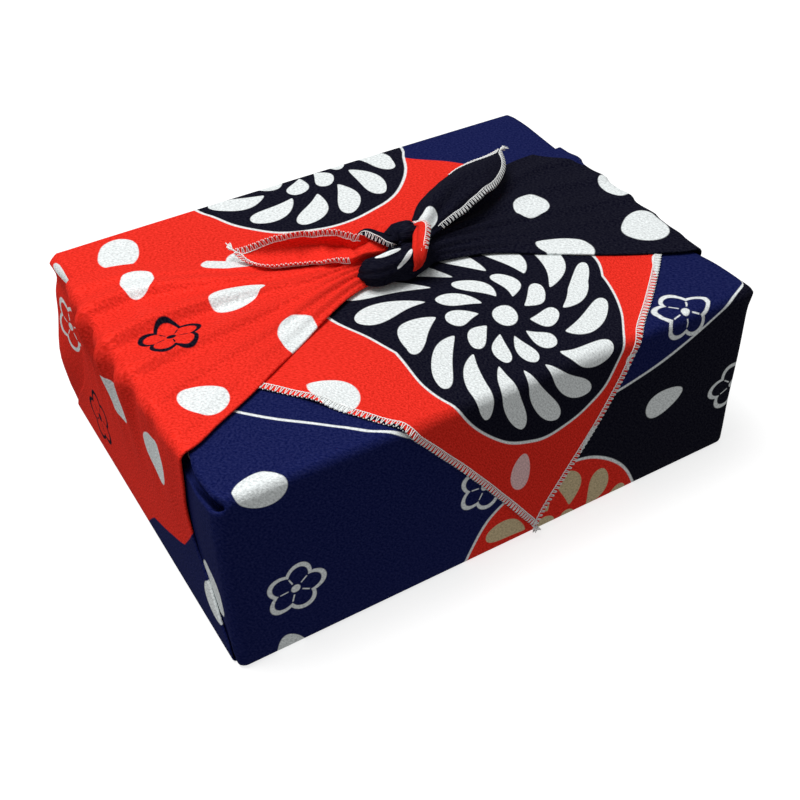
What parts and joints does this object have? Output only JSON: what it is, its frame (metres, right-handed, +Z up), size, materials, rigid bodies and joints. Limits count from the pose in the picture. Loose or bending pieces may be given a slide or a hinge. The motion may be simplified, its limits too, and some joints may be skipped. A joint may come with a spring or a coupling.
{
  "type": "fabric gift wrap",
  "caption": "Square hemmed cloth folded round an oblong gift box and tied on top with a reef knot and two free ends; hollow, without the box.",
  "frame": {"origin": "middle of the flat underside", "axes": "+X along the parcel's long side, +Y away from the side where the far corner of the cloth hangs down, +Z up"},
  "size_m": [0.285, 0.2064, 0.1199],
  "materials": {
    "cloth": "matt crepe with a soft sheen, printed in red, navy and off-white"
  },
  "bodies": {
    "root": {"wrap_cloth": "cloth"}
  },
  "joints": []
}
